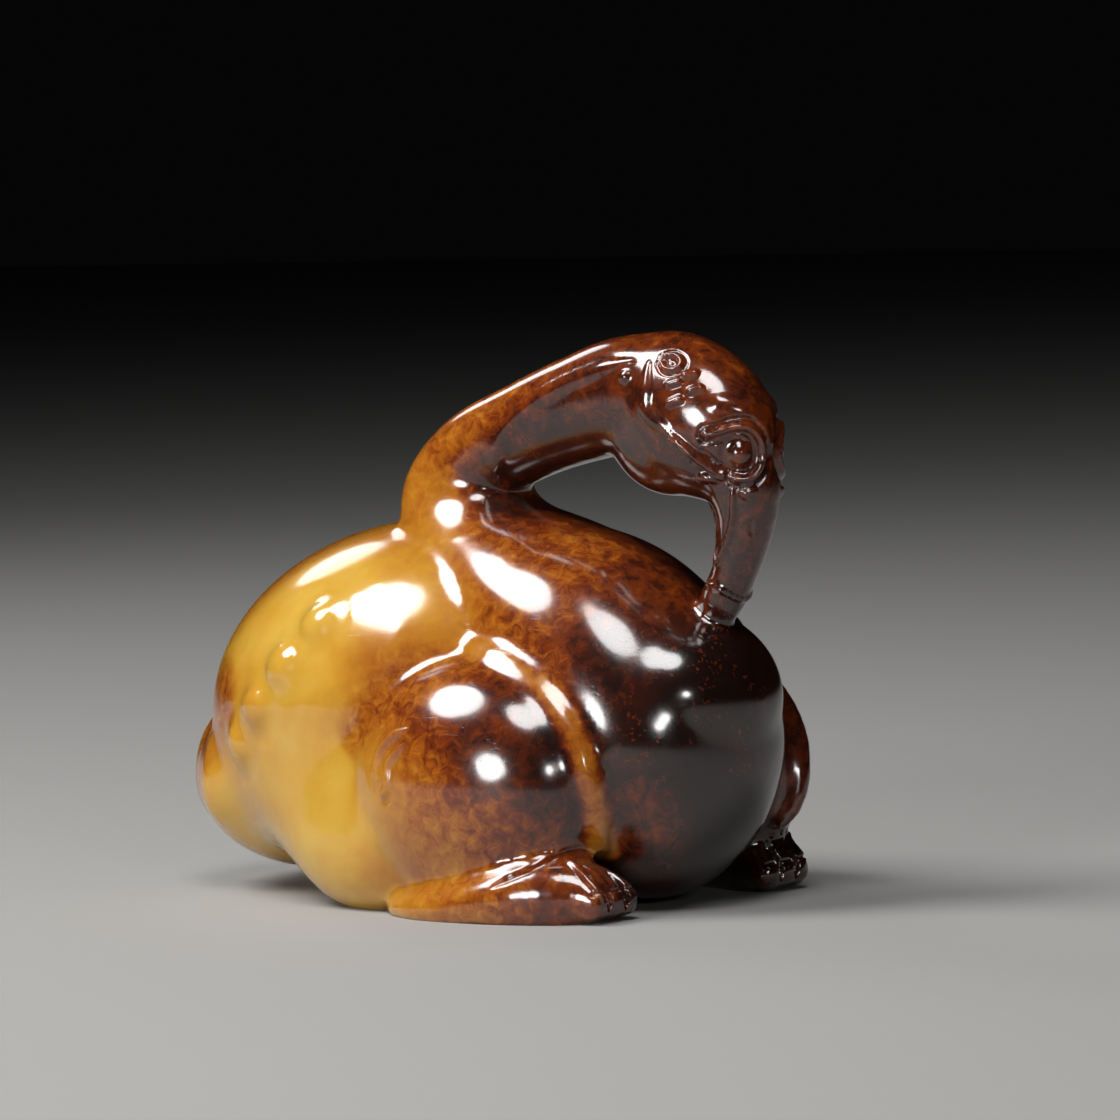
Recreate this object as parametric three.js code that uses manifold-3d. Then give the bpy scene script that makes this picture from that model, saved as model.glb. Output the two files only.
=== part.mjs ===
// A recumbent goose carved from one pebble of russet jade. Its long neck bends back over the body
// and returns, and the bill rests on the breast.
// Millimetres, +Z up, the bird faces +X and its left side is +Y. Z = 0 is the surface it rests on.
import * as THREE from "three";
import { mergeVertices } from "three/addons/utils/BufferGeometryUtils.js";
import Module from "manifold-3d";

const wasm = await Module();
wasm.setup();

// Driving dimensions: each mass is an ellipsoid with its centre and its half length, width and height
const TRUNK = { x: -6.2, z: 14.4, long: 18.5, wide: 14.2, high: 13.7, pitch: -0.16 };
const RUMP = { x: -17.6, z: 8.6, long: 8.6, wide: 10.4, high: 7.4 };
const BELLY = { x: -1.0, z: 4.0, long: 16.0, wide: 11.0, high: 6.0 };
const BREAST = { x: 17.0, z: 15.2, long: 7.8, wide: 8.2, high: 6.9 };
const RIGHT_HAUNCH = { side: -1, x: 5.9, y: 9.8, z: 9.4, long: 11.0, wide: 6.6, high: 9.4 };
const LEFT_HAUNCH = { side: 1, x: 9.0, y: 10.4, z: 9.4, long: 11.0, wide: 6.8, high: 9.4 };
const HEEL = { x: -3.5, y: 10.0, z: 4.6, long: 8.4, wide: 5.4, high: 5.4 };
const FLANK = { x: -6.6, y: 6.0, z: 9.3, long: 12.0, wide: 8.2, high: 8.4 };
const SKULL = { x: 19.2, z: 36.0, long: 7.8, wide: 4.5, high: 5.6, pitch: 0.55 };
const THROAT = { x: 17.0, z: 34.4, long: 5.0, wide: 3.8, high: 4.2, pitch: 0.45 };
const EYE = { x: 25.2, z: 33.4, radius: 0.9 };
const CURL = { x: 20.2, z: 39.6, radius: 0.9, line: 0.36 };
const TOES = 3;
const TOE_SPREAD = 1.9;
const WING_FEATHERS = 4;
const TAIL_FEATHERS = 5;
const TAIL_FAN = 2.5;
const TAIL_ROOT = { fan: 0.75, z: 15.5, radius: 2.0 };
const TAIL_LOBE = 2.3;
const TAIL_SUNK = 0.8;
const LINE = 0.42;

const HAUNCHES = [RIGHT_HAUNCH, LEFT_HAUNCH];
const SIDES = [-1, 1];

// A closed geometry as a solid that can be joined and cut
function solid(geometry) {
  const bare = geometry.clone();
  bare.deleteAttribute("normal");
  bare.deleteAttribute("uv");
  const merged = mergeVertices(bare, 1e-4);
  return new wasm.Manifold(
    new wasm.Mesh({
      numProp: 3,
      vertProperties: new Float32Array(merged.attributes.position.array),
      triVerts: new Uint32Array(merged.index.array),
    }),
  );
}

// An ellipsoid mass, pitched about its own Y axis
function mass({ x, y = 0, z, long, wide, high, pitch = 0, side = 1 }, columns = 24, rows = 16) {
  return new THREE.SphereGeometry(1, columns, rows)
    .scale(long, wide, high)
    .rotateY(pitch)
    .translate(x, side * y, z);
}

// The point on a mass's flank that lies behind [x, z] of a drawing in side view, lifted off it
function onFlank({ x: cx, y = 0, z: cz, long, wide, high, pitch = 0 }, [x, z], side, lift = 0) {
  const turned = new THREE.Vector2(x - cx, z - cz).rotateAround(new THREE.Vector2(), pitch);
  const reach = (turned.x / long) ** 2 + (turned.y / high) ** 2;
  const out = y + wide * Math.sqrt(Math.max(0, 1 - reach)) + lift;
  return [x, side * out, z];
}

// How full a round-ended form is at t, where its ends close over the given shares of its length
function fullness(t, startCap, endCap) {
  const cap = (d) => (d >= 1 ? 1 : Math.sqrt(Math.max(0, 1 - (1 - d) ** 2)));
  return cap(t / startCap) * cap((1 - t) / endCap);
}

// A round-ended form swept through stations of [x, y, z, half width, half height]. It is a sphere
// whose rows are laid along the path. Its width stays level, and its lower side can be squarer.
function swept(stations, { sides = 16, rows = 24, caps = [0.12, 0.12], square = 1 } = {}) {
  const path = new THREE.CatmullRomCurve3(stations.map(([x, y, z]) => new THREE.Vector3(x, y, z)));
  const size = new THREE.CatmullRomCurve3(stations.map(([, , , w, h]) => new THREE.Vector3(w, h, 0)));
  const geometry = new THREE.SphereGeometry(1, sides, rows);
  const position = geometry.attributes.position;
  for (let i = 0; i < position.count; i++) {
    const row = Math.floor(i / (sides + 1));
    const t = (1 - Math.cos((Math.PI * row) / rows)) / 2;
    const turn = (-2 * Math.PI * (i % (sides + 1))) / sides;
    const along = path.getTangent(t);
    const across = new THREE.Vector3(0, 1, 0).addScaledVector(along, -along.y).normalize();
    const up = new THREE.Vector3().crossVectors(along, across);
    const { x: wide, y: high } = size.getPoint(t);
    const full = fullness(t, ...caps);
    const power = Math.sin(turn) > 0 ? square : 1;
    const bend = (value) => Math.sign(value) * Math.abs(value) ** power;
    const point = path
      .getPoint(t)
      .addScaledVector(across, wide * full * bend(Math.cos(turn)))
      .addScaledVector(up, high * full * bend(Math.sin(turn)));
    position.setXYZ(i, point.x, point.y, point.z);
  }
  return geometry;
}

// A raised line of round section, laid on a mass along points of a side view
function line(on, points, side, { radius = LINE, sides = 6, rows = 8 } = {}) {
  return swept(
    points.map((p) => [...onFlank(on, p, side), radius, radius]),
    { sides, rows, caps: [0.15, 0.15] },
  );
}

// The neck rises from the breast, turns over the back and comes forward to the head. The face that
// looks into the loop is flatter than the outer one.
function neck() {
  return swept(
    [
      [15.2, 0, 0.4, 9.8, 9.2],
      [14.2, 0, 12.6, 10.6, 9.9],
      [10.4, 0, 18.2, 10.2, 8.9],
      [4.9, 0, 22.2, 9.0, 7.0],
      [0.1, 0, 26.0, 6.8, 5.0],
      [-2.6, 0, 29.6, 4.8, 4.2],
      [-0.4, 0, 32.8, 4.1, 3.7],
      [3.8, 0, 34.7, 3.9, 3.7],
      [9.0, 0, 36.4, 4.1, 4.0],
      [14.6, 0, 37.6, 4.3, 4.4],
      [19.6, 0, 37.0, 3.9, 4.0],
    ],
    { sides: 18, rows: 34, caps: [0.1, 0.06], square: 0.8 },
  );
}

// The bill curves down from the face and its tip rests on the breast
function bill() {
  return swept(
    [
      [21.6, 0, 35.0, 3.4, 3.6],
      [23.7, 0, 31.0, 2.6, 2.95],
      [23.75, 0, 27.5, 2.0, 2.05],
      [22.6, 0, 24.4, 1.8, 1.7],
      [20.8, 0, 21.4, 1.9, 1.8],
    ],
    { sides: 12, rows: 14, caps: [0.2, 0.1] },
  );
}

// A shank lies flat under each haunch and ends in three toes
function leg(side) {
  const shank = swept(
    [
      [0, side * 13.0, 0.4, 2.4, 1.2],
      [7, side * 13.4, 0.9, 3.0, 2.0],
      [13, side * 12.4, 1.7, 3.2, 3.0],
      [16.6, side * 10.8, 1.6, 2.9, 2.8],
      [18.2, side * 10.4, 0.8, 2.2, 1.6],
    ],
    { sides: 12, rows: 10, caps: [0.2, 0.1] },
  );
  const toes = Array.from({ length: TOES }, (_, i) => {
    const spread = (i - (TOES - 1) / 2) * TOE_SPREAD;
    return swept(
      [
        [15.2, side * (10.8 + 0.5 * spread), 2.8, 1.0, 1.4],
        [17.6, side * (10.5 + 0.9 * spread), 2.0, 1.2, 1.5],
        [19.3, side * (10.3 + spread), 0.5, 1.05, 1.2],
      ],
      { sides: 8, rows: 8, caps: [0.3, 0.2] },
    );
  });
  return [shank, ...toes];
}

// Flight feathers rise out of the flank towards their tips, which make a stepped row
function wing(side) {
  return Array.from({ length: WING_FEATHERS }, (_, i) => {
    const k = i / (WING_FEATHERS - 1);
    const root = [-1.0 - 3.0 * k, 21.5 - 5.5 * k];
    const tip = [-6.9 - 8.4 * k, 21.2 - 9.6 * k];
    const points = [0, 0.4, 0.75, 1].map((t) => {
      const bow = 0.8 * Math.sin(Math.PI * t);
      const x = THREE.MathUtils.lerp(root[0], tip[0], t);
      const z = THREE.MathUtils.lerp(root[1], tip[1], t) + bow;
      const lift = THREE.MathUtils.lerp(-2.6, -1.1, t);
      return [...onFlank(TRUNK, [x, z], side, lift), 1.9, 1.8];
    });
    return swept(points, { sides: 8, rows: 8, caps: [0.2, 0.14] });
  });
}

// The tail grows out of the trunk and hangs over the rump as a fan of rounded lobes
function tail() {
  return Array.from({ length: TAIL_FEATHERS }, (_, i) => {
    const turn = TAIL_FAN * (i / (TAIL_FEATHERS - 1) - 0.5);
    const rootTurn = TAIL_ROOT.fan * turn;
    const rootX = TRUNK.x - TAIL_SUNK * TRUNK.long * Math.cos(rootTurn);
    const rootY = TAIL_SUNK * TRUNK.wide * Math.sin(rootTurn);
    const root = [rootX, rootY, TAIL_ROOT.z, TAIL_ROOT.radius, TAIL_ROOT.radius];
    const hanging = [0.9, 0.4, -0.15, -0.7].map((rise) => {
      const out = TAIL_SUNK * Math.cos(rise);
      const x = RUMP.x - RUMP.long * out * Math.cos(turn);
      const y = RUMP.wide * out * Math.sin(turn);
      return [x, y, RUMP.z + TAIL_SUNK * RUMP.high * Math.sin(rise), TAIL_LOBE, TAIL_LOBE];
    });
    return swept([root, ...hanging], { sides: 8, rows: 9, caps: [0.15, 0.2] });
  });
}

// The wing's leading edge is a raised band that runs down between the haunch and the breast, and a
// curl is carved on the haunch behind it
function shoulder(haunch) {
  const { side, x, z, y } = haunch;
  const band = [
    [x - 0.4, side * (y + 0.6), z + 10.6, 0.4, 0.4],
    [x + 3.3, side * (y + 0.6), z + 9.2, 0.8, 0.8],
    [x + 7.6, side * (y + 0.8), z + 6.6, 0.9, 0.9],
    [x + 10.3, side * (y + 0.9), z + 3.2, 0.9, 0.9],
    [x + 11.2, side * (y + 0.5), z - 0.2, 0.9, 0.9],
    [x + 11.1, side * (y - 0.4), z - 3.0, 0.8, 0.8],
    [x + 10.4, side * (y - 1.8), z - 5.0, 0.6, 0.6],
  ];
  const curl = [
    [x - 1.6, z + 6.0],
    [x - 3.8, z + 4.2],
    [x - 4.9, z + 1.2],
    [x - 3.6, z - 0.8],
  ];
  return [swept(band, { sides: 7, rows: 14, caps: [0.2, 0.2] }), line(haunch, curl, side)];
}

// The carved lines of the head: the eye between its lids, the cheek's edge and a curl at the crown
function face(side) {
  const { x, z, radius } = EYE;
  const lids = [
    [
      [x - 2.4, z + 0.1],
      [x - 0.9, z + 1.2],
      [x + 0.4, z + 1.7],
      [x + 1.2, z + 0.5],
    ],
    [
      [x - 2.4, z + 0.1],
      [x - 1.2, z - 1.0],
      [x + 0.1, z - 1.4],
      [x + 1.1, z - 0.4],
    ],
  ];
  const cheek = [
    [17.4, 40.0],
    [18.9, 37.3],
    [20.6, 35.2],
    [22.4, 33.4],
    [23.9, 32.2],
  ];
  const [crownX, crownY, crownZ] = onFlank(SKULL, [CURL.x, CURL.z], side);
  return [
    new THREE.SphereGeometry(radius, 10, 8).translate(...onFlank(SKULL, [x, z], side, -0.1)),
    ...lids.map((lid) => line(SKULL, lid, side, { radius: 0.36, rows: 6 })),
    line(SKULL, cheek, side, { radius: 0.6, rows: 8 }),
    new THREE.TorusGeometry(CURL.radius, CURL.line, 5, 10)
      .rotateX(side * -0.9)
      .translate(crownX, crownY, crownZ),
  ];
}

function ground() {
  return new THREE.BoxGeometry(120, 120, 20).translate(0, 0, -10);
}

const masses = [
  mass(TRUNK, 28, 17),
  mass(RUMP, 18, 12),
  mass(BELLY, 20, 8),
  mass(BREAST, 14, 8),
  mass(SKULL, 18, 14),
  mass(THROAT, 16, 12),
  ...HAUNCHES.map((haunch) => mass(haunch, 22, 16)),
  ...SIDES.map((side) => mass({ ...HEEL, side }, 16, 12)),
  ...SIDES.map((side) => mass({ ...FLANK, side }, 18, 12)),
  neck(),
  bill(),
  ...SIDES.flatMap(leg),
  ...SIDES.flatMap(wing),
  ...tail(),
  ...HAUNCHES.flatMap(shoulder),
  ...SIDES.flatMap(face),
];

const carved = masses
  .map(solid)
  .reduce((whole, piece) => whole.add(piece))
  .subtract(solid(ground()));

function geometryOf(made) {
  const { vertProperties, triVerts } = made.getMesh();
  const geometry = new THREE.BufferGeometry();
  geometry.setAttribute("position", new THREE.BufferAttribute(vertProperties, 3));
  geometry.setIndex(new THREE.BufferAttribute(triVerts, 1));
  geometry.computeVertexNormals();
  return geometry;
}

const jade = new THREE.MeshStandardMaterial({ color: 0x6b3212, roughness: 0.15, metalness: 0 });
const bird = new THREE.Mesh(geometryOf(carved), jade);
bird.name = "bird";
const carving = new THREE.Group().add(bird);
export default carving;
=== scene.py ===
# A recumbent goose carved in the round from one pebble of russet jade and polished to a high gloss.
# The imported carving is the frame. Lengths below are millimetres, and the finished mesh is in metres.
import math

import bmesh
import bpy
import numpy as np
from mathutils import Matrix, Quaternion, Vector
from mathutils.bvhtree import BVHTree
from mathutils.kdtree import KDTree


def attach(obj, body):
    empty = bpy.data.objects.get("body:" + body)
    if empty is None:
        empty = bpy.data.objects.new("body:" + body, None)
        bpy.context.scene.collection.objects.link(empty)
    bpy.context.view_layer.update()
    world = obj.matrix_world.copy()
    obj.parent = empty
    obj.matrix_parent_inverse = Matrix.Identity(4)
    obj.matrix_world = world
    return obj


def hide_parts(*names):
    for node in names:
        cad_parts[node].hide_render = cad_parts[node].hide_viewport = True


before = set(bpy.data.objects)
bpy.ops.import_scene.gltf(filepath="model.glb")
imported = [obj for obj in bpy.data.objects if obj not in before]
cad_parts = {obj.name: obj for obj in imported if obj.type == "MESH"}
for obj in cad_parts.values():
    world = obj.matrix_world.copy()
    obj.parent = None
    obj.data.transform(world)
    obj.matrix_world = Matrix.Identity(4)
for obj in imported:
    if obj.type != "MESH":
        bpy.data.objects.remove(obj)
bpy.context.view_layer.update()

MM = 0.001

# The view: a long lens about 45 cm away, a little above the bird and towards its front right.
# The picture is 84 mm wide where the bird stands.
AZIMUTH = math.radians(38.6)
ELEVATION = math.radians(3.6)
TILT = math.radians(1.5)
DISTANCE = 450
FIELD = 84.2
AIM_RIGHT = 5.1
AIM_UP = 24.9
SENSOR = 36

back = Vector(
    (
        math.sin(AZIMUTH) * math.cos(ELEVATION),
        -math.cos(AZIMUTH) * math.cos(ELEVATION),
        math.sin(ELEVATION),
    )
)
across = Vector((math.cos(AZIMUTH), math.sin(AZIMUTH), 0))
aim = across * AIM_RIGHT + back.cross(across) * AIM_UP
camera_data = bpy.data.cameras.new("camera")
camera_data.sensor_width = SENSOR
camera_data.lens = SENSOR * DISTANCE / FIELD
camera_data.clip_end = 10
camera = bpy.data.objects.new("camera", camera_data)
camera.location = (aim + back * DISTANCE) * MM
camera.rotation_mode = "QUATERNION"
camera.rotation_quaternion = Quaternion(back, -TILT) @ (-back).to_track_quat("-Z", "Y")
bpy.context.scene.collection.objects.link(camera)
bpy.context.scene.camera = camera

# The trunk: a long egg that leans down to the tail, a low rump behind it, a full breast in front, and
# a belly that is ground flat underneath. Each boss of the rough-out is a sphere pulled to its length,
# width and height.
TRUNK = {"x": -6.2, "z": 14.4, "long": 18.5, "wide": 14.2, "high": 13.7, "pitch": -0.16}
RUMP = {"x": -17.6, "z": 8.6, "long": 8.6, "wide": 10.4, "high": 7.4}
BELLY = {"x": -1.0, "z": 4.0, "long": 16.0, "wide": 11.0, "high": 6.0}
BREAST = {"x": 17.0, "z": 15.2, "long": 7.8, "wide": 8.2, "high": 6.9}

stone = bmesh.new()


def add(form):
    mesh = bpy.data.meshes.new("form")
    form.to_mesh(mesh)
    form.free()
    stone.from_mesh(mesh)
    bpy.data.meshes.remove(mesh)


def boss(x, z, long, wide, high, y=0.0, pitch=0.0, side=1):
    form = bmesh.new()
    shape = Matrix.Diagonal((long, wide, high, 1))
    place = Matrix.Translation((x, side * y, z)) @ Matrix.Rotation(pitch, 4, "Y") @ shape
    bmesh.ops.create_uvsphere(form, u_segments=96, v_segments=64, radius=1, matrix=place)
    add(form)


boss(**TRUNK)
boss(**RUMP)
boss(**BELLY)
boss(**BREAST)

# The haunches: round bosses low on each flank, the left one a little further forward. A heel swells
# behind each of them, under a soft flank that carries it up into the trunk. The bird's right side is
# -1 and its left side 1.
SIDES = (-1, 1)
HAUNCHES = (
    {"side": -1, "x": 5.9, "y": 9.8, "z": 9.4, "long": 11.0, "wide": 6.6, "high": 9.4},
    {"side": 1, "x": 9.0, "y": 10.4, "z": 9.4, "long": 11.0, "wide": 6.8, "high": 9.4},
)
HEEL = {"x": -3.5, "y": 10.0, "z": 4.6, "long": 8.4, "wide": 5.4, "high": 5.4}
FLANK = {"x": -6.6, "y": 6.0, "z": 9.3, "long": 12.0, "wide": 8.2, "high": 8.4}

for haunch in HAUNCHES:
    boss(**haunch)
for side in SIDES:
    boss(side=side, **HEEL)
    boss(side=side, **FLANK)


# The neck: one tapering limb that rises from the ball of the breast, leans back over the trunk, turns
# and comes forward to the head. A limb is a sphere whose rings are laid along a smooth path.
def spline(points, t):
    """A point at share t of a centripetal spline through the points, which are lists of numbers."""
    last = len(points) - 1
    at = min(int(t * last), last - 1)
    w = t * last - at
    before = points[at - 1] if at > 0 else [2 * a - b for a, b in zip(points[0], points[1])]
    after = points[at + 2] if at + 2 <= last else [2 * a - b for a, b in zip(points[-1], points[-2])]
    four = [before, points[at], points[at + 1], after]
    d0, d1, d2 = (math.dist(a[:3], b[:3]) ** 0.5 or 1 for a, b in zip(four, four[1:]))
    found = []
    for p0, p1, p2, p3 in zip(*four):
        m1 = d1 * ((p1 - p0) / d0 - (p2 - p0) / (d0 + d1) + (p2 - p1) / d1)
        m2 = d1 * ((p2 - p1) / d1 - (p3 - p1) / (d1 + d2) + (p3 - p2) / d2)
        bend = -3 * p1 + 3 * p2 - 2 * m1 - m2
        found.append(p1 + w * (m1 + w * (bend + w * (2 * p1 - 2 * p2 + m1 + m2))))
    return found


def limb(stations, caps, rings=48, sides=32, square=1.0):
    """A form along the stations, which are (x, y, z, half width, half height).

    Caps are the shares of its length that round off at its ends. A square under 1 makes its lower side
    squarer than round.
    """
    form = bmesh.new()
    bmesh.ops.create_uvsphere(form, u_segments=sides, v_segments=rings, radius=1)
    step = 1e-4
    laid = {}
    for vert in form.verts:
        t = round((1 - vert.co.z) / 2, 5)
        if t not in laid:
            *point, wide, high = spline(stations, t)
            ahead = spline(stations, min(1, t + step))
            behind = spline(stations, max(0, t - step))
            along = (Vector(ahead[:3]) - Vector(behind[:3])).normalized()
            level = (Vector((0, 1, 0)) - along * along.y).normalized()
            full = 1.0
            for reach in (t / caps[0], (1 - t) / caps[1]):
                full *= math.sqrt(max(0, 1 - (1 - min(1, reach)) ** 2))
            laid[t] = Vector(point), level * wide * full, along.cross(level) * high * full
        point, level, up = laid[t]
        turn = -math.atan2(vert.co.y, vert.co.x)
        power = square if math.sin(turn) > 0 else 1
        out = math.copysign(abs(math.cos(turn)) ** power, math.cos(turn))
        rise = math.copysign(abs(math.sin(turn)) ** power, math.sin(turn))
        vert.co = point + level * out + up * rise
    add(form)


NECK = (
    (15.2, 0, 0.4, 9.8, 9.2),
    (14.2, 0, 12.6, 10.6, 9.9),
    (10.4, 0, 18.2, 10.2, 8.9),
    (4.9, 0, 22.2, 9.0, 7.0),
    (0.1, 0, 26.0, 6.8, 5.0),
    (-2.6, 0, 29.6, 4.8, 4.2),
    (-0.4, 0, 32.8, 4.1, 3.7),
    (3.8, 0, 34.7, 3.9, 3.7),
    (9.0, 0, 36.4, 4.1, 4.0),
    (14.6, 0, 37.6, 4.3, 4.4),
    (19.6, 0, 37.0, 3.9, 4.0),
)
limb(NECK, caps=(0.1, 0.06), rings=140, sides=64, square=0.8)

# The head: a skull that dips forward, a full throat under it, and a bill that curves down until its
# tip rests on the breast.
SKULL = {"x": 19.2, "z": 36.0, "long": 7.8, "wide": 4.5, "high": 5.6, "pitch": 0.55}
THROAT = {"x": 17.0, "z": 34.4, "long": 5.0, "wide": 3.8, "high": 4.2, "pitch": 0.45}
BILL = (
    (21.6, 0, 35.0, 3.4, 3.6),
    (23.7, 0, 31.0, 2.6, 2.95),
    (23.75, 0, 27.5, 2.0, 2.05),
    (22.6, 0, 24.4, 1.8, 1.7),
    (20.8, 0, 21.4, 1.9, 1.8),
)
boss(**SKULL)
boss(**THROAT)
limb(BILL, caps=(0.2, 0.1))

# The legs: a shank lies flat under each haunch and ends in three toes. They are cut from the one pebble
# like all the rest, and run on into the haunch above without a joint.
SHANK = (
    (0, 13.0, 0.4, 2.4, 1.2),
    (7, 13.4, 0.9, 3.0, 2.0),
    (13, 12.4, 1.7, 3.2, 3.0),
    (16.6, 10.8, 1.6, 2.9, 2.8),
    (18.2, 10.4, 0.8, 2.2, 1.6),
)
TOE_SPREAD = 1.9


def on_side(side, points):
    """A path that is given for the bird's left side, laid on its left (1) or its right (-1)."""
    return [(x, side * y, *rest) for x, y, *rest in points]


for side in SIDES:
    limb(on_side(side, SHANK), caps=(0.2, 0.1))
    for spread in (-TOE_SPREAD, 0, TOE_SPREAD):
        toe = (
            (15.2, 10.8 + 0.5 * spread, 2.8, 1.0, 1.4),
            (17.6, 10.5 + 0.9 * spread, 2.0, 1.2, 1.5),
            (19.3, 10.3 + spread, 0.5, 1.05, 1.2),
        )
        limb(on_side(side, toe), caps=(0.3, 0.2))

# The wings and the tail: flight feathers lie in low relief along each flank, the tail hangs over the
# rump as a fan of lobes, and the wing's leading edge runs down in front of the haunch as a band. The
# band's points are measured from the middle of the haunch.
WING_FEATHERS = 4
FEATHER_SIZE = (1.9, 1.8)
FEATHER_BOW = 0.8
FEATHER_LIFT = (-2.6, -1.1)
TAIL_LOBES = 5
TAIL_FAN = 2.5
TAIL_ROOT = {"fan": 0.75, "z": 15.5, "radius": 2.0}
TAIL_FALL = (0.9, 0.4, -0.15, -0.7)
TAIL_RADIUS = 2.3
TAIL_SUNK = 0.8
BAND = (
    (-0.4, 0.6, 10.6, 0.4),
    (3.3, 0.6, 9.2, 0.8),
    (7.6, 0.8, 6.6, 0.9),
    (10.3, 0.9, 3.2, 0.9),
    (11.2, 0.5, -0.2, 0.9),
    (11.1, -0.4, -3.0, 0.8),
    (10.4, -1.8, -5.0, 0.6),
)


def on_flank(boss_of, x, z, side, lift=0.0):
    """The point of a boss's flank that lies behind (x, z) of a drawing in side view."""
    dx, dz = x - boss_of["x"], z - boss_of["z"]
    pitch = boss_of.get("pitch", 0)
    u = (dx * math.cos(pitch) - dz * math.sin(pitch)) / boss_of["long"]
    v = (dx * math.sin(pitch) + dz * math.cos(pitch)) / boss_of["high"]
    out = boss_of.get("y", 0) + boss_of["wide"] * math.sqrt(max(0, 1 - u * u - v * v)) + lift
    return (x, side * out, z)


def between(a, b, t):
    return a + (b - a) * t


FEATHERS = []
for i in range(WING_FEATHERS):
    down = i / (WING_FEATHERS - 1)
    root = (-1.0 - 3.0 * down, 21.5 - 5.5 * down)
    tip = (-6.9 - 8.4 * down, 21.2 - 9.6 * down)
    FEATHERS.append((root, tip))

for side in SIDES:
    for root, tip in FEATHERS:
        stations = []
        for t in (0, 0.4, 0.75, 1):
            x, z = (between(a, b, t) for a, b in zip(root, tip))
            bow = FEATHER_BOW * math.sin(math.pi * t)
            lift = between(*FEATHER_LIFT, t)
            stations.append((*on_flank(TRUNK, x, z + bow, side, lift), *FEATHER_SIZE))
        limb(stations, caps=(0.2, 0.14))

for i in range(TAIL_LOBES):
    turn = TAIL_FAN * (i / (TAIL_LOBES - 1) - 0.5)
    x = TRUNK["x"] - TAIL_SUNK * TRUNK["long"] * math.cos(TAIL_ROOT["fan"] * turn)
    y = TAIL_SUNK * TRUNK["wide"] * math.sin(TAIL_ROOT["fan"] * turn)
    stations = [(x, y, TAIL_ROOT["z"], TAIL_ROOT["radius"], TAIL_ROOT["radius"])]
    for rise in TAIL_FALL:
        out = TAIL_SUNK * math.cos(rise)
        x = RUMP["x"] - RUMP["long"] * out * math.cos(turn)
        y = RUMP["wide"] * out * math.sin(turn)
        z = RUMP["z"] + TAIL_SUNK * RUMP["high"] * math.sin(rise)
        stations.append((x, y, z, TAIL_RADIUS, TAIL_RADIUS))
    limb(stations, caps=(0.15, 0.2))

BANDS = []
for haunch in HAUNCHES:
    x, y, z, side = (haunch[key] for key in ("x", "y", "z", "side"))
    BANDS.append([(x + dx, side * (y + dy), z + dz, thick, thick) for dx, dy, dz, thick in BAND])
    limb(BANDS[-1], caps=(0.2, 0.2))

# The stone: the rough-out is fused into one closed skin of fine, even faces, then rubbed down until
# every hollow between two forms is softly rounded. The crook of the neck and the feathers of the flank
# are rubbed for longer, and the heels until they melt into the body.
GRAIN = 0.42
RUBS = 8
LONG_RUBS = 60
LONG_RUBBED = (
    ((0.5, 5.0, 29.6), (3.6, 3.2, 2.6)),
    ((-6.0, 12.5, 21.0), (6.5, 4, 4.5)),
    ((-12.5, 13.0, 15.5), (4, 4, 4)),
)
HEEL_RUBS = 30
HEEL_MIDDLE = (-9, 12, 6.5)
HEEL_REACH = (10.5, 8, 9)
HEEL_SHARES = (1, 0.92, 0.84, 0.76, 0.68, 0.6)

rough_mesh = bpy.data.meshes.new("rough")
stone.to_mesh(rough_mesh)
stone.free()
rough = bpy.data.objects.new("rough", rough_mesh)
bpy.context.scene.collection.objects.link(rough)
fuse = rough.modifiers.new("fuse", "REMESH")
fuse.mode = "VOXEL"
fuse.voxel_size = GRAIN
fused_mesh = bpy.data.meshes.new_from_object(rough.evaluated_get(bpy.context.evaluated_depsgraph_get()))
bpy.data.objects.remove(rough)

stone = bmesh.new()
stone.from_mesh(fused_mesh)


def rub(verts, rounds):
    for _ in range(rounds):
        bmesh.ops.smooth_vert(
            stone, verts=verts, factor=0.5, use_axis_x=True, use_axis_y=True, use_axis_z=True
        )


def near(centre, reach, side=1):
    """The stone's vertices inside an ellipsoid of the given half sizes about a point on one side."""
    x, y, z = centre
    middle = Vector((x, side * y, z))
    scale = Vector([1 / r for r in reach])
    return [v for v in stone.verts if ((v.co - middle) * scale).length_squared < 1]


def refine(centre, reach, side=1, rubs=2):
    """Split the faces near a point into four and soften them, so that fine lines can be cut there."""
    inside = set(near(centre, reach, side))
    edges = [e for e in stone.edges if e.verts[0] in inside and e.verts[1] in inside]
    bmesh.ops.subdivide_edges(stone, edges=edges, cuts=1, use_grid_fill=True)
    rub(near(centre, reach, side), rubs)


rub(stone.verts, RUBS)
for side in SIDES:
    for centre, reach in LONG_RUBBED:
        rub(near(centre, reach, side), LONG_RUBS)
    long, wide, high = HEEL_REACH
    for share in HEEL_SHARES:
        rub(near(HEEL_MIDDLE, (long * share, wide, high * share), side), HEEL_RUBS)


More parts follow.
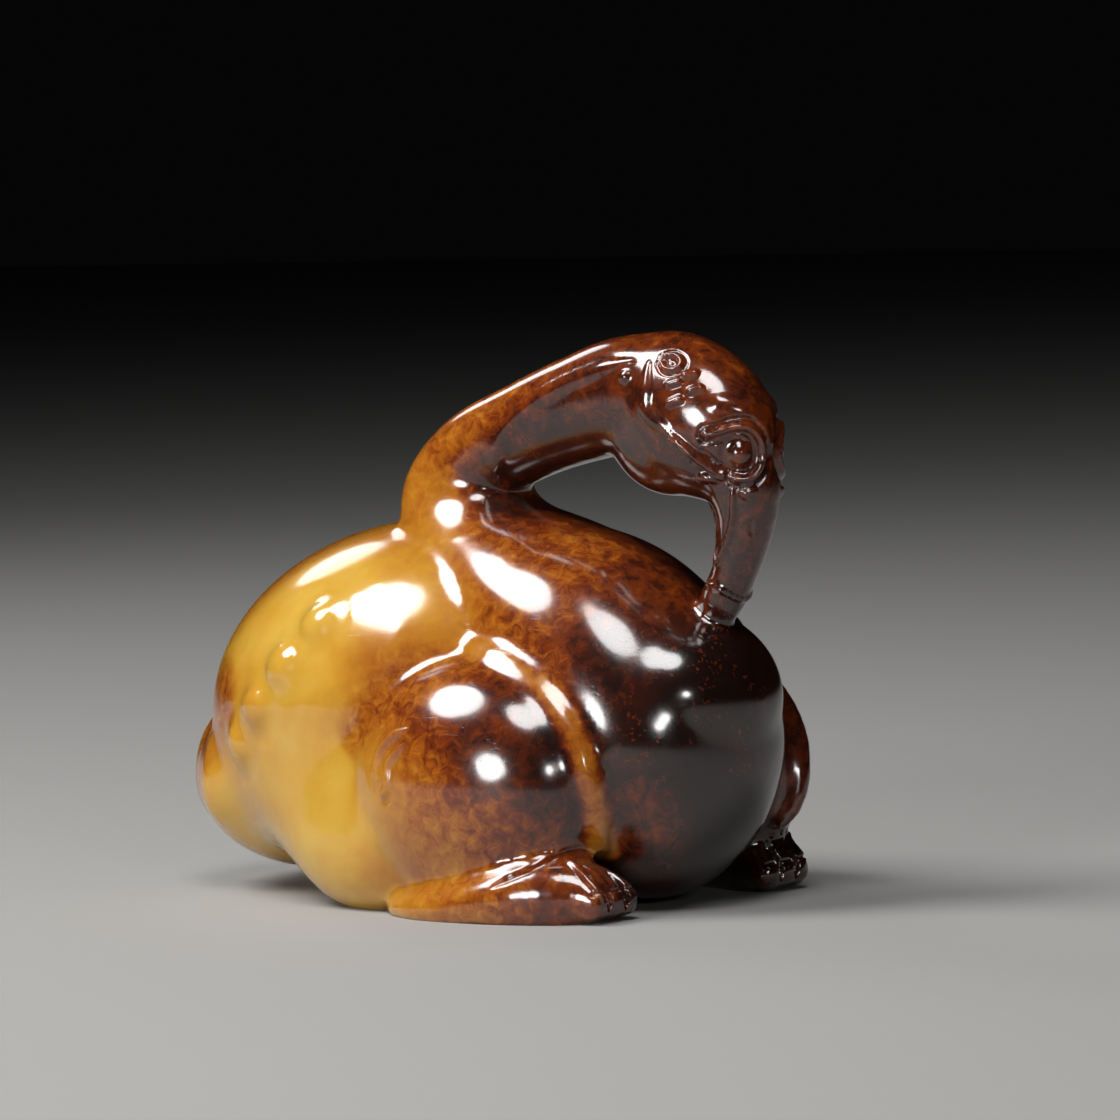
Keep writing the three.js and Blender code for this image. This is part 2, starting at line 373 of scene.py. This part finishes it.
class Skin:
    """The skin before it is carved, and how far the strokes raise it or cut into it at each vertex."""

    def __init__(self, of):
        of.verts.index_update()
        of.verts.ensure_lookup_table()
        of.normal_update()
        self.stone = of
        self.surface = BVHTree.FromBMesh(of)
        self.points = KDTree(len(of.verts))
        for vert in of.verts:
            self.points.insert(vert.co, vert.index)
        self.points.balance()
        self.raised = {}
        self.sunk = {}

    def stroke(self, path, width, height, ditch=0.0, fade=0.25, blunt=2.0):
        """Raise a line of the given half width along a path, or cut it where the height is negative.

        A ditch runs along both sides of it, out to twice that width. The line fades over a share of its
        length at each end, down to its weakest. A blunt of 1 gives it a round top, and 2 a sharper one.
        """
        spacing = 0.08
        weakest = 0.35
        outer = 2
        length = sum(math.dist(a, b) for a, b in zip(path, path[1:]))
        steps = max(1, round(length / spacing))
        gaps = {}
        for step in range(steps + 1):
            t = step / steps
            strength = 1.0
            if fade:
                strength = min(1.0, weakest + t / fade, weakest + (1 - t) / fade)
            spot = self.surface.find_nearest(Vector(spline(path, t)))[0]
            for _, index, away in self.points.find_range(spot, outer * width * strength):
                gap = away / (width * strength)
                if gap < gaps.get(index, (outer, 0))[0]:
                    gaps[index] = (gap, strength)
        for index, (gap, strength) in gaps.items():
            if gap < 1:
                depth = height * strength * (1 - gap * gap) ** blunt
            else:
                depth = -ditch * strength * math.sin(math.pi * (gap - 1))
            self.raised[index] = max(depth, self.raised.get(index, 0))
            self.sunk[index] = min(depth, self.sunk.get(index, 0))

    def mound(self, centre, width, height, ditch):
        """Raise a round boss of the given radius, with a ditch around it."""
        self.stroke([centre, centre], width, height, ditch, fade=0, blunt=1.0)

    def cut(self):
        """Move each vertex along its own normal by all that the strokes ask of it."""
        verts = self.stone.verts
        normals = {index: verts[index].normal.copy() for index in self.raised}
        for index, normal in normals.items():
            verts[index].co += normal * (self.raised[index] + self.sunk[index])
        self.stone.normal_update()


# The face: a low crest runs from the crown down the cheek to the eye, which has a raised rim, and a
# round curl with four tufts of down lies above it. All of it is cut in fine lines on each side, in
# places where the skin is made finer first. A dot is (place, radius, height, ditch).
HEAD_ZONE = ((20.5, 0, 33), (9, 8, 12))
EYE_ZONE = ((24.6, 2.8, 33.2), (3.2, 3, 3.6))
CURL_ZONE = ((20.8, 4.0, 38.7), (3.0, 3, 3.2))
CHEEK = (
    (18.0, 3.3, 39.9),
    (18.2, 4.2, 38.3),
    (18.3, 4.5, 36.6),
    (20.0, 4.8, 35.2),
    (21.5, 4.5, 33.8),
    (22.7, 4.0, 32.7),
    (23.6, 3.0, 32.0),
    (24.4, 2.4, 31.7),
)
EYE_RIM = (
    (22.9, 3.8, 34.8),
    (23.9, 3.4, 34.9),
    (25.0, 2.6, 35.3),
    (25.9, 1.9, 35.2),
    (26.3, 1.3, 34.4),
    (26.2, 1.0, 33.1),
    (25.9, 1.3, 32.0),
    (25.4, 1.9, 31.5),
    (24.4, 2.4, 31.7),
)
EYELID = ((22.8, 4.0, 33.8), (24.2, 3.4, 34.4), (25.3, 2.4, 34.7), (25.8, 1.8, 34.3))
LOWER_LID = ((22.8, 4.0, 33.7), (23.6, 3.4, 32.9), (24.4, 2.7, 32.3), (25.3, 1.9, 32.2))
EYE_CORNER = ((22.3, 3.2, 31.5), (23.7, 2.8, 31.7))
BROW = ((23.4, 3.2, 37.1), (24.8, 2.4, 36.9), (25.8, 1.0, 36.3))
CURL = {"x": 19.9, "y": 3.3, "z": 40.1, "radius": 0.8, "start": 0.6, "sweep": 5.4, "steps": 7}
TUFTS = ((20.5, 3.8, 38.5), (21.5, 3.2, 39.1), (20.8, 4.2, 37.2), (22.2, 3.5, 38.0))
GAPE = ((24.5, 2.4, 31.3), (24.4, 2.2, 29.9), (24.0, 2.0, 28.0), (23.0, 1.9, 26.3), (21.6, 1.6, 25.0))
BILL_EDGE = ((21.3, 1.4, 29.6), (22.1, 1.2, 27.9), (22.3, 1.3, 26.6), (21.6, 1.2, 25.2))
BILL_COLLAR = ((21.2, 1.7, 23.9), (22.9, 1.6, 23.3), (23.4, 0.2, 22.7))
NOSTRIL = ((25.5, 1.5, 28.6), (25.3, 1.4, 27.4))
NECK_RIDGE = (
    (2.7, 2.1, 31.2),
    (3.4, 3.3, 32.8),
    (4.7, 3.9, 35.0),
    (8.3, 4.0, 37.6),
    (13.4, 3.6, 39.3),
    (16.6, 3.4, 40.0),
)

FACE_DOTS = (
    # the eyeball, the knob at the root of the bill, and a round tuft behind the curl
    ((25.2, 2.3, 33.3), 0.85, 0.4, 0.16),
    ((25.5, 1.9, 30.6), 0.75, 0.38, 0),
    ((16.2, 4.1, 39.0), 0.55, 0.3, 0),
)

refine(*HEAD_ZONE)
for side in SIDES:
    refine(*EYE_ZONE, side, rubs=1)
    refine(*CURL_ZONE, side, rubs=1)

curl = []
for step in range(CURL["steps"] + 1):
    turn = CURL["start"] + CURL["sweep"] * step / CURL["steps"]
    x = CURL["x"] - CURL["radius"] * math.cos(turn)
    z = CURL["z"] + CURL["radius"] * math.sin(turn)
    curl.append((x, CURL["y"], z))

skin = Skin(stone)
for side in SIDES:
    skin.stroke(on_side(side, CHEEK[:5]), 0.85, 0.3, fade=0.5)
    skin.stroke(on_side(side, CHEEK[3:]), 0.36, 0.34, ditch=0.12)
    skin.stroke(on_side(side, EYE_RIM), 0.42, 0.4, ditch=0.2, fade=0.06)
    skin.stroke(on_side(side, EYELID), 0.2, 0.18, fade=0.2)
    skin.stroke(on_side(side, LOWER_LID), 0.3, -0.25)
    skin.stroke(on_side(side, EYE_CORNER), 0.55, 0.3, fade=0, blunt=1.5)
    skin.stroke(on_side(side, BROW), 1.0, 0.2)
    skin.stroke(on_side(side, curl), 0.3, 0.32, ditch=0.1, fade=0)
    for x, y, z in TUFTS:
        tuft = ((x - 0.35, y, z - 0.15), (x + 0.4, y, z + 0.15))
        skin.stroke(on_side(side, tuft), 0.4, 0.38, fade=0, blunt=1)
    for (x, y, z), radius, height, ditch in FACE_DOTS:
        skin.mound((x, side * y, z), radius, height, ditch)
    skin.stroke(on_side(side, GAPE), 0.32, 0.28)
    skin.stroke(on_side(side, BILL_EDGE), 0.3, 0.2, ditch=0.08)
    # the bill ends in a narrow collar where it meets the breast
    skin.stroke(on_side(side, BILL_COLLAR), 0.35, 0.2, fade=0)
    skin.stroke(on_side(side, NOSTRIL), 0.26, -0.25)
    skin.stroke(on_side(side, NECK_RIDGE), 0.9, 0.3)
skin.cut()

# The feet and the haunches: grooves that run forward part the three toes, a short cut marks each claw,
# a ridge runs down the outer toe, and a groove marks the ankle. Two fine curved ridges are the down at
# the back of each haunch, and the feathers of the wing end in low rounded swellings behind it.
FOOT_ZONE = ((15.5, 11.5, 2.5), (7, 6, 5))
TOE_ZONE = ((18.0, 10.8, 2.2), (3.6, 4.4, 3.4))
TOE_GROOVES = (
    ((17.2, 11.8, 4.0), (18.9, 11.4, 2.4), (19.7, 11.3, 0.7)),
    ((17.0, 9.6, 3.6), (18.8, 9.4, 2.4), (19.7, 9.4, 0.7)),
)
TOE_RIDGE = ((15.6, 11.9, 4.6), (17.9, 12.4, 3.4), (19.4, 12.3, 1.8))
ANKLE_GROOVE = ((11.9, 15.5, 2.7), (14.8, 13.6, 4.3), (15.6, 10.2, 5.2))
CLAWS = {"x": 19.0, "z": 2.3, "middles": (12.4, 10.3, 8.5), "half": 0.5}
DOWN_ZONE = {"x": -3.4, "y": 15.2, "z": 1.9, "reach": (3, 4, 4)}
DOWN = (
    ((-1.8, 4.5), (-3.7, 3.5), (-4.6, 2.1), (-4.8, -0.3)),
    ((-1.6, 3.5), (-3.1, 2.1), (-3.3, 0.1), (-3.9, -0.6)),
)
FEATHER_TIP = {"width": 1.7, "height": 0.45, "ditch": 0.1}

for side in SIDES:
    refine(*FOOT_ZONE, side, rubs=1)
    refine(*TOE_ZONE, side, rubs=1)
for haunch in HAUNCHES:
    middle = (haunch["x"] + DOWN_ZONE["x"], DOWN_ZONE["y"], haunch["z"] + DOWN_ZONE["z"])
    refine(middle, DOWN_ZONE["reach"], haunch["side"])

skin = Skin(stone)
for haunch in HAUNCHES:
    x, z, side = (haunch[key] for key in ("x", "z", "side"))
    for line in DOWN:
        skin.stroke([on_flank(haunch, x + dx, z + dz, side) for dx, dz in line], 0.42, 0.28, ditch=0.1)
for side in SIDES:
    for _, tip in FEATHERS:
        skin.mound(on_flank(TRUNK, *tip, side), **FEATHER_TIP)
    for groove in TOE_GROOVES:
        skin.stroke(on_side(side, groove), 0.5, -0.5, fade=0.35)
    for y in CLAWS["middles"]:
        ends = (y - CLAWS["half"], y + CLAWS["half"])
        claw = [(CLAWS["x"], end, CLAWS["z"]) for end in ends]
        skin.stroke(on_side(side, claw), 0.22, -0.2, fade=0)
    skin.stroke(on_side(side, TOE_RIDGE), 0.4, 0.25)
    skin.stroke(on_side(side, ANKLE_GROOVE), 0.4, -0.3)
skin.cut()

# The underside: the finished form is ground flat where it stands, and becomes the one piece of stone
# that the carving is.
bmesh.ops.bisect_plane(
    stone,
    geom=stone.verts[:] + stone.edges[:] + stone.faces[:],
    plane_co=(0, 0, 0),
    plane_no=(0, 0, 1),
    clear_inner=True,
)
bmesh.ops.holes_fill(stone, edges=[e for e in stone.edges if e.is_boundary], sides=0)
bmesh.ops.recalc_face_normals(stone, faces=stone.faces)
bmesh.ops.scale(stone, vec=(MM, MM, MM), verts=stone.verts)
bird_mesh = bpy.data.meshes.new("jade_bird")
stone.to_mesh(bird_mesh)
stone.free()
bird_mesh.shade_smooth()
bird = bpy.data.objects.new("jade_bird", bird_mesh)
bpy.context.scene.collection.objects.link(bird)

# The colour of the stone, with some painted light and shade: honey at the tail, amber and russet
# towards the neck and the feet, nearly black on the breast. Each wash is (x, y, z, reach, stain), with
# stain 0 for honey and 1 for black, and the washes run into each other over the skin, which is russet
# where none of them reaches. A few washes paint shade round the tail's outline, and shade and a
# reflection inside the bend of the neck. The band on the right is a pale vein with a painted highlight
# along its ridge and the one on the left a dark one, and a darker rim runs over the back of each
# haunch, the stone's amber with painted shade along the crease. A vein and a rim are (reach, stain).
WASHES = (
    # the back and the right flank
    (-10, -11, 22, 5, 0.03),
    (-14, -12, 16, 5, 0.08),
    (-20, -9, 9, 4, 0.10),
    (-18, -9, 5, 3, 0.04),
    (-18, -11, 15, 1.6, 0.42),
    # the darker amber round the tail's outline is painted shade where the tail turns away
    (-24, -3, 12, 4, 0.34),
    (-25, -6, 8, 2.5, 0.30),
    (-22, -9, 12, 2.0, 0.30),
    (-15, -3, 26, 5, 0.26),
    (-6, 0, 29, 5, 0.14),
    (0, -10, 23, 4, 0.02),
    (-5, -14, 15, 5, 0.06),
    (-9, -14, 10, 5, 0.03),
    (-6, -15, 5, 5, 0.03),
    (-1, -15, 2, 4, 0.12),
    (7, -16, 2, 3, 0.24),
    # the right haunch and foot
    (-1, -14, 15, 3, 0.18),
    (2, -13, 17, 3, 0.42),
    (6, -13, 17, 3, 0.56),
    (11, -13, 16, 3, 0.66),
    (1, -16, 10, 2.5, 0.12),
    (4, -16, 11, 2.5, 0.28),
    (8, -16, 13, 3, 0.56),
    (11, -15, 12, 3, 0.66),
    (15, -13, 12, 3, 0.82),
    (16, -12, 8, 2.5, 0.82),
    (12, -15, 7, 3, 0.54),
    (8, -16, 7, 3, 0.36),
    (9, -15, 3, 3, 0.32),
    (15, -13, 5, 2.5, 0.56),
    (11, -16, 1, 3, 0.44),
    (17, -13, 2, 3, 0.54),
    (19, -9, 2, 2.5, 0.80),
    # the root of the neck and the breast
    (-1, -6, 27, 3, 0.20),
    (0, -9, 24, 3, 0.16),
    (3, -10, 21, 2.5, 0.18),
    (4, -7, 25, 3, 0.34),
    (7, -10, 20, 3, 0.30),
    (9, -8, 23, 3, 0.42),
    (6, -3, 28, 3, 0.50),
    (11, -4, 26, 3.5, 0.48),
    (12, -10, 19, 3, 0.50),
    (14, -7, 23, 3, 0.56),
    (18, -3, 24, 3, 0.66),
    (18, -8, 19, 3, 0.80),
    (23, -4, 16, 5, 1.02),
    (24, 2, 14, 4, 0.90),
    (18, -10, 9, 2.5, 0.74),
    (20, -7, 7, 1.8, 0.58),
    (22, -5, 8, 4, 0.98),
    (20, 7, 20, 4, 0.76),
    # the neck, paler along the top and nearly black inside the bend: the stone's dark skin there, with
    # painted shade and a painted reflection of the dark breast
    (-2, -4, 28, 3, 0.27),
    (-4, 0, 31, 3, 0.30),
    (0, -3, 35, 2.5, 0.36),
    (5, -2, 38, 3, 0.44),
    (13, -2, 41, 4, 0.54),
    (4, -3, 31, 2.5, 0.86),
    (6, -5, 33, 2.5, 0.84),
    (10, -5, 35, 2.5, 0.86),
    (14, -4, 37, 3, 0.76),
    # the head and the bill
    (18, -4, 35, 3, 0.70),
    (23, -4, 37, 3, 0.64),
    (18, -3, 31, 3, 0.76),
    (25, 0, 37, 3, 0.66),
    (20, 0, 42, 4, 0.60),
    (25, -2, 33, 2.5, 0.80),
    (23, -2, 27, 2.5, 0.78),
    (26, 0, 28, 2.5, 0.64),
    # the left side and the underside
    (20, 4, 34, 6, 0.72),
    (8, 4, 36, 4, 0.58),
    (-2, 4, 29, 4, 0.34),
    (19, 9, 2, 4, 0.88),
    (20, 10, 11, 4, 0.92),
    (10, 16, 9, 6, 0.60),
    (10, 10, 21, 5, 0.52),
    (-2, 14, 11, 6, 0.26),
    (-10, 12, 17, 7, 0.08),
    (-16, 9, 8, 6, 0.12),
    (0, 0, 0, 9, 0.45),
)
# the right band's pale vein is the stone's paler colour with a painted highlight along the ridge; the
# left band's is a dark vein
BAND_VEINS_AND_HIGHLIGHT = ((0.55, 0.2), (0.8, 0.7))
BAND_STEPS = 24
# the rim over each haunch is the stone's darker amber with painted shade along the crease between haunch
# and trunk
RIM = (1.0, 0.38)
RIM_STEPS = 16
RIM_START = 1.5
RIM_SWEEP = 1.1
RIM_INSET = (0.8, 0.82)
ELSEWHERE = 0.4
FAINT = 1e-9

skin_points = np.empty(len(bird_mesh.vertices) * 3)
bird_mesh.vertices.foreach_get("co", skin_points)
skin_points = skin_points.reshape(-1, 3) / MM
weight = np.full(len(skin_points), FAINT)
stained_and_shaded = np.full(len(skin_points), ELSEWHERE * FAINT)
veins_rims_and_shading = []
for band, band_vein_and_highlight in zip(BANDS, BAND_VEINS_AND_HIGHLIGHT):
    veins_rims_and_shading += [(*spline(band, step / BAND_STEPS)[:3], *band_vein_and_highlight) for step in range(BAND_STEPS + 1)]
for haunch in HAUNCHES:
    for step in range(RIM_STEPS + 1):
        turn = RIM_START + RIM_SWEEP * step / RIM_STEPS
        x = haunch["x"] + RIM_INSET[0] * haunch["long"] * math.cos(turn)
        z = haunch["z"] + RIM_INSET[1] * haunch["high"] * math.sin(turn)
        veins_rims_and_shading.append((*on_flank(haunch, x, z, haunch["side"]), *RIM))
for x, y, z, reach, stain in (*WASHES, *veins_rims_and_shading):
    away = ((skin_points - (x, y, z)) ** 2).sum(axis=1)
    share = np.exp(-away / reach**2) / reach**2
    weight += share
    stained_and_shaded += share * stain
stain_and_shading_map = bird_mesh.attributes.new("stain", "FLOAT", "POINT")
stain_and_shading_map.data.foreach_set("value", stained_and_shaded / weight)


class Tone:
    """A socket of the jade's shader. Arithmetic on it adds Math nodes."""

    def __init__(self, socket):
        self.socket = socket

    def node(self, kind, settings=None, sockets=None, out=0):
        """Add a node to the same shader: its settings first, then the values or links of its sockets."""
        tree = self.socket.id_data
        made = tree.nodes.new(kind)
        for name, value in (settings or {}).items():
            if name == "stops":
                ramp = made.color_ramp
                for _ in value[2:]:
                    ramp.elements.new(0.5)
                for element, (at, colour) in zip(ramp.elements, value):
                    element.position = at
                    element.color = (*colour, 1)
            else:
                setattr(made, name, value)
        for name, value in (sockets or {}).items():
            if isinstance(value, Tone):
                tree.links.new(value.socket, made.inputs[name])
            else:
                made.inputs[name].default_value = value
        return Tone(made.outputs[out])

    def work_out(self, operation, first, second):
        return self.node("ShaderNodeMath", {"operation": operation}, {0: first, 1: second})

    def __add__(self, other):
        return self.work_out("ADD", self, other)

    __radd__ = __add__

    def __sub__(self, other):
        return self.work_out("SUBTRACT", self, other)

    def __rsub__(self, other):
        return self.work_out("SUBTRACT", other, self)

    def __mul__(self, other):
        return self.work_out("MULTIPLY", self, other)

    __rmul__ = __mul__

    def noise(self, size, detail=2.0, roughness=0.5, distortion=0.0):
        """Noise of the given grain in millimetres, about 0.5, laid over this vector."""
        sockets = {
            "Vector": self,
            "Scale": 1 / (size * MM),
            "Detail": detail,
            "Roughness": roughness,
            "Distortion": distortion,
        }
        return self.node("ShaderNodeTexNoise", sockets=sockets)

    def between(self, low, high):
        """0 where this is under the low value and 1 where it is over the high one, smooth between."""
        settings = {"interpolation_type": "SMOOTHSTEP"}
        sockets = {"Value": self, "From Min": low, "From Max": high}
        return self.node("ShaderNodeMapRange", settings, sockets)

    def into(self, socket):
        self.socket.id_data.links.new(self.socket, socket)


jade = bpy.data.materials.new("russet_jade")
jade.use_nodes = True
shader = jade.node_tree.nodes["Principled BSDF"]
place = Tone(jade.node_tree.nodes.new("ShaderNodeTexCoord").outputs["Object"])
stain = place.node("ShaderNodeAttribute", {"attribute_name": "stain"}, out="Fac")

# the stain is cloudy: in the honey and the black it drifts, where it is half strong it breaks up into
# a net of grains, and the black is peppered with patches of small red grains
half_strong = stain.between(0.1, 0.45) * (1 - stain.between(0.75, 1.0))
drift = (place.noise(9.0, detail=4, roughness=0.6) - 0.5) * 0.3 * (1 - half_strong)
clouds = (place.noise(5.0, detail=3) - 0.5) * (0.12 + 0.35 * half_strong)
net = (place.noise(1.1, detail=5, roughness=0.68, distortion=0.6) - 0.5) * (0.05 + 0.95 * half_strong)
grains = place.noise(0.35, detail=2, roughness=0.6).between(0.56, 0.66) * stain.between(0.7, 0.95)
patches = place.noise(3.0).between(0.4, 0.62)
tone = stain + drift + clouds + net - 0.3 * grains * patches
colour = tone.node(
    "ShaderNodeValToRGB",
    {
        "stops": (
            (0.0, (0.57, 0.35, 0.055)),
            (0.08, (0.53, 0.28, 0.03)),
            (0.18, (0.42, 0.17, 0.015)),
            (0.34, (0.30, 0.085, 0.008)),
            (0.52, (0.15, 0.026, 0.004)),
            (0.72, (0.055, 0.010, 0.004)),
            (0.95, (0.010, 0.004, 0.003)),
        )
    },
    {"Fac": tone},
)
colour.into(shader.inputs["Base Color"])

# the polish is high, with a faint unevenness of the hand and fine scratches
JADE_IOR = 1.61
drawn_out = {"Vector": place, "Rotation": (0.5, 0.6, 0.3), "Scale": (0.12, 1, 1)}
scratch = place.node("ShaderNodeMapping", sockets=drawn_out).noise(0.22, detail=1).between(0.66, 0.72)
relief = place.noise(2.4, detail=2) - 0.15 * scratch
bump = place.node("ShaderNodeBump", sockets={"Strength": 0.25, "Distance": 0.06 * MM, "Height": relief})
bump.into(shader.inputs["Normal"])
for socket, value in (
    ("Roughness", 0.16),
    ("IOR", JADE_IOR),
    ("Coat Weight", 0.5),
    ("Coat Roughness", 0.09),
    ("Coat IOR", JADE_IOR),
    ("Subsurface Weight", 0.3),
    ("Subsurface Radius", (1.0, 0.45, 0.15)),
    ("Subsurface Scale", 3.0 * MM),
):
    shader.inputs[socket].default_value = value
bird_mesh.materials.append(jade)

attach(bird, "root")
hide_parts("bird")

# The set: a plain pale floor and soft light from two large boxes above, two small ones in front and
# one behind, which draws a line of light along the neck.
FLOOR_HALF = 3000
floor_mesh = bpy.data.meshes.new("floor")
ground = bmesh.new()
bmesh.ops.create_grid(ground, x_segments=1, y_segments=1, size=FLOOR_HALF * MM)
ground.to_mesh(floor_mesh)
ground.free()
floor = bpy.data.objects.new("floor", floor_mesh)
bpy.context.scene.collection.objects.link(floor)
pale = bpy.data.materials.new("pale_floor")
pale.use_nodes = True
paint = pale.node_tree.nodes["Principled BSDF"]
paint.inputs["Base Color"].default_value = (0.33, 0.325, 0.315, 1)
paint.inputs["Roughness"].default_value = 0.8
floor_mesh.materials.append(pale)


def softbox(name, right, up, near_camera, size, glow, beam=180):
    """A round light placed by the view: to the right, up and towards the camera from the bird.

    Its face glows with the given radiance, so its power follows from its area.
    """
    data = bpy.data.lights.new(name, "AREA")
    data.shape = "DISK"
    data.size = size * MM
    data.energy = glow * math.pi * math.pi * (size * MM / 2) ** 2
    data.spread = math.radians(beam)
    light = bpy.data.objects.new(name, data)
    middle = Vector((0, 0, 20))
    spot = middle + across * right + Vector((0, 0, up)) + back * near_camera
    light.location = spot * MM
    light.rotation_mode = "QUATERNION"
    light.rotation_quaternion = (middle - spot).to_track_quat("-Z", "Y")
    bpy.context.scene.collection.objects.link(light)


softbox("left_box", -270, 351, 45, 250, 12.5)
softbox("top_box", 0, 382, 234, 190, 10.5)
softbox("low_box", -250, 65, 370, 150, 1.9, beam=60)
softbox("front_box", 135, 74, 427, 60, 1.9, beam=60)
softbox("back_box", -180, 270, -310, 140, 4)

world = bpy.data.worlds.new("studio")
world.use_nodes = True
sky = world.node_tree.nodes["Background"]
sky.inputs["Color"].default_value = (0.5, 0.52, 0.56, 1)
sky.inputs["Strength"].default_value = 0.003
bpy.context.scene.world = world
bpy.context.scene.view_settings.view_transform = "Standard"
